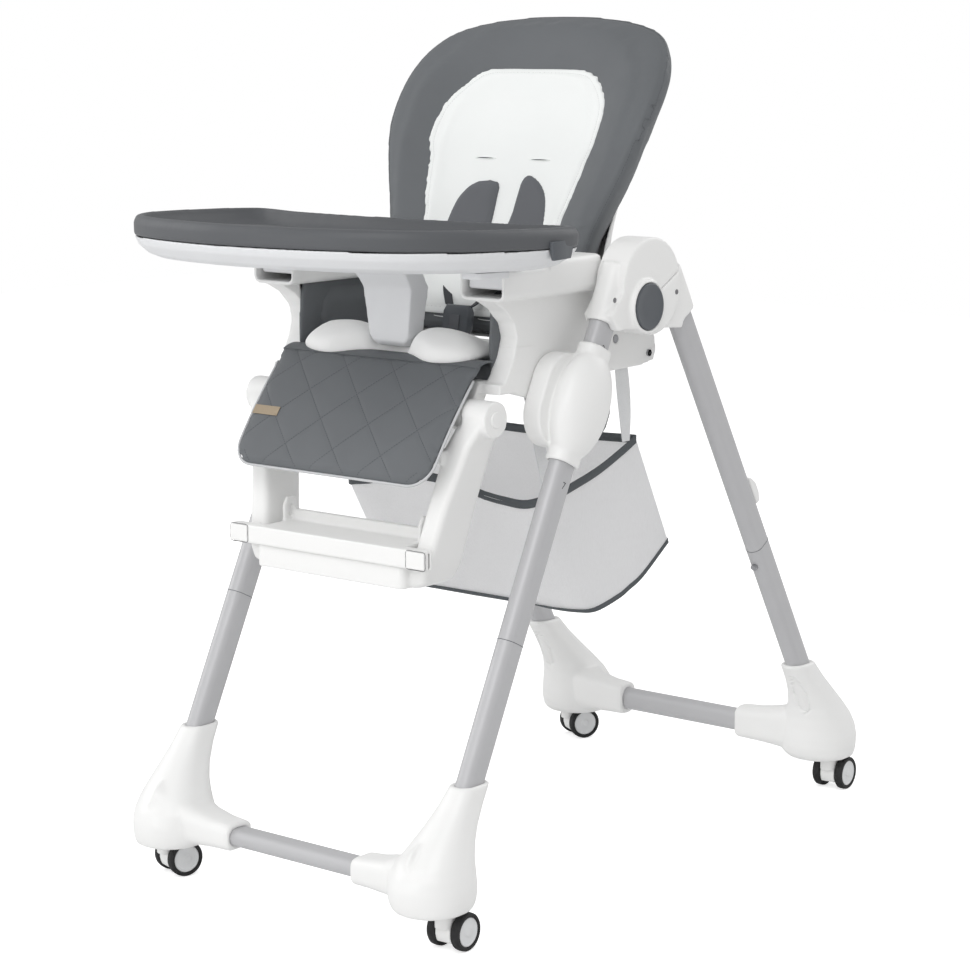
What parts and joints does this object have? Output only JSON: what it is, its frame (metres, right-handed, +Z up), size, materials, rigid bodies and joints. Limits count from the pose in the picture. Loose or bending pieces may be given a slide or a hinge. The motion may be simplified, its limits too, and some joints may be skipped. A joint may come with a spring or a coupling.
{
  "type": "folding baby high chair",
  "caption": "Folding baby high chair on casters, with a height-adjustable padded seat, reclining back, raising footrest, sliding double tray, harness and mesh basket.",
  "frame": {"origin": "on the floor, under the middle of the chair's outline", "axes": "+Z up; the child faces -Y, towards the tray; +X is the child's left"},
  "size_m": [0.544, 1.0188, 1.0651],
  "materials": {
    "button_plastic": "matte",
    "dark_fabric": "matte",
    "grey_plastic": "matte",
    "leatherette": "satin",
    "liner_fabric": "matte",
    "mesh_fabric": "matte",
    "steel": "satin",
    "tube": "satin",
    "tyre": "matte",
    "webbing": "matte",
    "white_plastic": "satin"
  },
  "bodies": {
    "front_frame": {"front_leg_left": "tube", "front_leg_right": "tube", "front_legs_lower": "tube", "front_cross_tube": "tube", "front_boot_left": "white_plastic", "front_boot_right": "white_plastic", "hub_front_left": "white_plastic", "hub_front_right": "white_plastic", "hub_pins": "steel"},
    "rear_frame": {"rear_leg_left": "tube", "rear_leg_right": "tube", "rear_legs_lower": "tube", "rear_cross_tube": "tube", "rear_boot_left": "white_plastic", "rear_boot_right": "white_plastic", "hub_rear_left": "white_plastic", "hub_rear_right": "white_plastic", "tray_hooks": "white_plastic"},
    "seat_carriage": {"slider_left": "white_plastic", "slider_right": "white_plastic", "seat_side_left": "white_plastic", "seat_side_right": "white_plastic", "seat_pan": "white_plastic", "seat_pad": "leatherette", "basket": "mesh_fabric", "basket_straps": "webbing", "buckle": "button_plastic", "pivot_pins": "steel", "screws": "steel"},
    "backrest": {"backrest_shell": "white_plastic", "back_pad": "leatherette", "back_liner": "liner_fabric", "harness": "dark_fabric"},
    "recline_handle": {"recline_handle": "white_plastic"},
    "tray": {"tray_base": "white_plastic", "crotch_post": "white_plastic"},
    "tray_top": {"tray_top": "grey_plastic"},
    "footrest": {"footrest_frame": "white_plastic", "calf_board": "white_plastic", "calf_pad": "leatherette"},
    "step": {"step": "white_plastic"},
    "snap_button_left": {"snap_button_left": "steel"},
    "snap_button_right": {"snap_button_right": "steel"},
    "hub_button_left": {"hub_button_left": "button_plastic"},
    "hub_button_right": {"hub_button_right": "button_plastic"},
    "height_lever_left": {"height_lever_left": "white_plastic"},
    "height_lever_right": {"height_lever_right": "white_plastic"},
    "tray_release_left": {"tray_release_left": "white_plastic"},
    "tray_release_right": {"tray_release_right": "white_plastic"},
    "step_button_left": {"step_button_left": "white_plastic"},
    "step_button_right": {"step_button_right": "white_plastic"},
    "caster_front_left_swivel": {"caster_front_left_hood": "white_plastic"},
    "caster_front_left_wheels": {"caster_front_left_wheels": "tyre"},
    "caster_front_right_swivel": {"caster_front_right_hood": "white_plastic"},
    "caster_front_right_wheels": {"caster_front_right_wheels": "tyre"},
    "caster_rear_left_swivel": {"caster_rear_left_hood": "white_plastic"},
    "caster_rear_left_wheels": {"caster_rear_left_wheels": "tyre"},
    "caster_rear_right_swivel": {"caster_rear_right_hood": "white_plastic"},
    "caster_rear_right_wheels": {"caster_rear_right_wheels": "tyre"}
  },
  "joints": [
    {"name": "fold", "type": "hinge", "parent": "front_frame", "child": "rear_frame", "pos_m": [0, -0.02, 0.723], "axis": [-1, 0, 0], "range_deg": [0, 52]},
    {"name": "seat_height", "type": "slide", "parent": "front_frame", "child": "seat_carriage", "axis": [0, -0.4431, -0.8965], "range_m": [0, 0.21]},
    {"name": "recline", "type": "hinge", "parent": "seat_carriage", "child": "backrest", "pos_m": [0, 0.008, 0.676], "axis": [-1, 0, 0], "range_deg": [0, 40]},
    {"name": "footrest_angle", "type": "hinge", "parent": "seat_carriage", "child": "footrest", "pos_m": [0, -0.245, 0.604], "axis": [-1, 0, 0], "range_deg": [0, 50]},
    {"name": "tray_depth", "type": "slide", "parent": "seat_carriage", "child": "tray", "axis": [0, -1, 0], "range_m": [0, 0.06]},
    {"name": "tray_lift", "type": "slide", "parent": "tray", "child": "tray_top", "axis": [0, 0.0297, 0.9996], "range_m": [0, 0.04]},
    {"name": "step_height", "type": "slide", "parent": "footrest", "child": "step", "axis": [0, 0.21, 0.9777], "range_m": [0, 0.055]},
    {"name": "recline_pull", "type": "slide", "parent": "backrest", "child": "recline_handle", "axis": [0, 0.342, 0.9397], "range_m": [0, 0.01], "stiffness_N_per_m": 600, "springref_m": -0.004},
    {"name": "hub_press_left", "type": "slide", "parent": "front_frame", "child": "hub_button_left", "axis": [-1, 0, 0], "range_m": [0, 0.004], "stiffness_N_per_m": 800, "springref_m": -0.001},
    {"name": "snap_press_left", "type": "slide", "parent": "rear_frame", "child": "snap_button_left", "axis": [0, 0.8603, 0.5098], "range_m": [0, 0.003], "stiffness_N_per_m": 800, "springref_m": -0.001},
    {"name": "lever_press_left", "type": "slide", "parent": "seat_carriage", "child": "height_lever_left", "axis": [0, -0.8965, 0.4431], "range_m": [0, 0.003], "stiffness_N_per_m": 800, "springref_m": -0.001},
    {"name": "tray_press_left", "type": "slide", "parent": "tray", "child": "tray_release_left", "axis": [-1, 0, 0], "range_m": [0, 0.005], "stiffness_N_per_m": 500, "springref_m": -0.001},
    {"name": "step_press_left", "type": "slide", "parent": "step", "child": "step_button_left", "axis": [0, 1, 0], "range_m": [0, 0.0025], "stiffness_N_per_m": 800, "springref_m": -0.001},
    {"name": "hub_press_right", "type": "slide", "parent": "front_frame", "child": "hub_button_right", "axis": [1, 0, 0], "range_m": [0, 0.004], "stiffness_N_per_m": 800, "springref_m": -0.001},
    {"name": "snap_press_right", "type": "slide", "parent": "rear_frame", "child": "snap_button_right", "axis": [0, 0.8603, 0.5098], "range_m": [0, 0.003], "stiffness_N_per_m": 800, "springref_m": -0.001},
    {"name": "lever_press_right", "type": "slide", "parent": "seat_carriage", "child": "height_lever_right", "axis": [0, -0.8965, 0.4431], "range_m": [0, 0.003], "stiffness_N_per_m": 800, "springref_m": -0.001},
    {"name": "tray_press_right", "type": "slide", "parent": "tray", "child": "tray_release_right", "axis": [1, 0, 0], "range_m": [0, 0.005], "stiffness_N_per_m": 500, "springref_m": -0.001},
    {"name": "step_press_right", "type": "slide", "parent": "step", "child": "step_button_right", "axis": [0, 1, 0], "range_m": [0, 0.0025], "stiffness_N_per_m": 800, "springref_m": -0.001},
    {"name": "swivel_front_left", "type": "hinge", "parent": "front_frame", "child": "caster_front_left_swivel", "pos_m": [0.228, -0.387, 0.05], "axis": [0, 0, 1], "continuous": true},
    {"name": "roll_front_left", "type": "hinge", "parent": "caster_front_left_swivel", "child": "caster_front_left_wheels", "pos_m": [0.22737, -0.36901, 0.023], "axis": [0.9994, 0.0349, 0], "continuous": true},
    {"name": "swivel_front_right", "type": "hinge", "parent": "front_frame", "child": "caster_front_right_swivel", "pos_m": [-0.228, -0.387, 0.05], "axis": [0, 0, 1], "continuous": true},
    {"name": "roll_front_right", "type": "hinge", "parent": "caster_front_right_swivel", "child": "caster_front_right_wheels", "pos_m": [-0.22274, -0.36979, 0.023], "axis": [0.9563, -0.2924, 0], "continuous": true},
    {"name": "swivel_rear_left", "type": "hinge", "parent": "rear_frame", "child": "caster_rear_left_swivel", "pos_m": [0.228, 0.463, 0.05], "axis": [0, 0, 1], "continuous": true},
    {"name": "roll_rear_left", "type": "hinge", "parent": "caster_rear_left_swivel", "child": "caster_rear_left_wheels", "pos_m": [0.22737, 0.48099, 0.023], "axis": [0.9994, 0.0349, 0], "continuous": true},
    {"name": "swivel_rear_right", "type": "hinge", "parent": "rear_frame", "child": "caster_rear_right_swivel", "pos_m": [-0.228, 0.463, 0.05], "axis": [0, 0, 1], "continuous": true},
    {"name": "roll_rear_right", "type": "hinge", "parent": "caster_rear_right_swivel", "child": "caster_rear_right_wheels", "pos_m": [-0.21927, 0.47874, 0.023], "axis": [0.8746, -0.4848, 0], "continuous": true}
  ]
}
